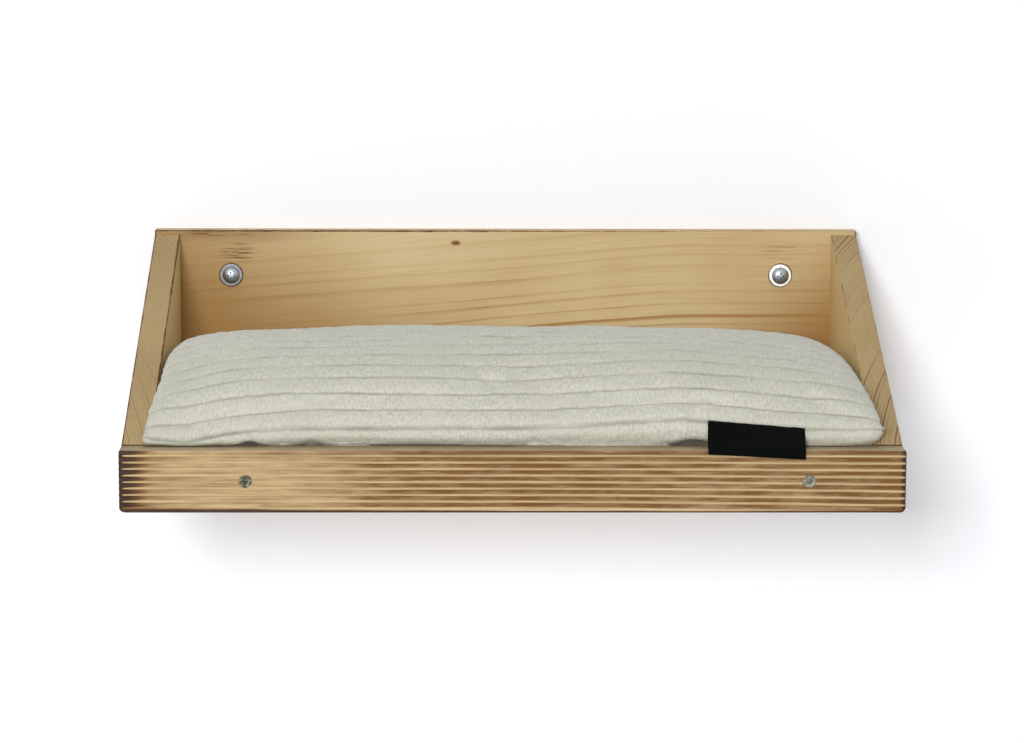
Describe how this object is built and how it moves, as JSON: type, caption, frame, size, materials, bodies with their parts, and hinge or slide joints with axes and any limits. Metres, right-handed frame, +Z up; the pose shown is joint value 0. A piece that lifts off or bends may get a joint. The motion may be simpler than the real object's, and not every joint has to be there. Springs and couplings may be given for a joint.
{
  "type": "cat wall alcove",
  "caption": "Wall-hung cat bed: a shallow board tray with sloping sides, a high back, a low grooved front rail and a loose crowned cushion, held by wall screws.",
  "frame": {"origin": "midway between the two wall screws, on the rear face of the back board, which is the wall plane", "axes": "+X along the back board to the right, +Y into the wall, +Z up"},
  "size_m": [0.5, 0.3419, 0.15],
  "materials": {
    "scorched_spruce": "planed, edges scorched, matt",
    "spruce_decking": "fine grooved, grooves scorched, matt",
    "zinc_plated_steel": "bright zinc plated",
    "rib_plush": "wide-rib plush",
    "cushion_stuffing": "loose fibre",
    "woven_label": "fine satin weave"
  },
  "bodies": {
    "shelf": {"back_board": "scorched_spruce", "left_side": "scorched_spruce", "right_side": "scorched_spruce", "floor_board": "scorched_spruce", "front_rail": "spruce_decking", "wall_screw_left": "zinc_plated_steel", "wall_screw_right": "zinc_plated_steel", "wall_washer_left": "zinc_plated_steel", "wall_washer_right": "zinc_plated_steel", "front_screw_left": "zinc_plated_steel", "front_screw_right": "zinc_plated_steel", "side_screw_left_front": "zinc_plated_steel", "side_screw_left_rear": "zinc_plated_steel", "side_screw_right_front": "zinc_plated_steel", "side_screw_right_rear": "zinc_plated_steel", "back_screw_left_upper": "zinc_plated_steel", "back_screw_left_lower": "zinc_plated_steel", "back_screw_right_upper": "zinc_plated_steel", "back_screw_right_lower": "zinc_plated_steel", "back_floor_screw_left": "zinc_plated_steel", "back_floor_screw_right": "zinc_plated_steel"},
    "cushion": {"cushion_top_cover": "rib_plush", "cushion_bottom_cover": "rib_plush", "cushion_filling": "cushion_stuffing", "cushion_label": "woven_label"}
  },
  "joints": [
    {"name": "cushion_lift_out", "type": "slide", "parent": "shelf", "child": "cushion", "axis": [0, 0, 1], "range_m": [0, 0.14]}
  ]
}
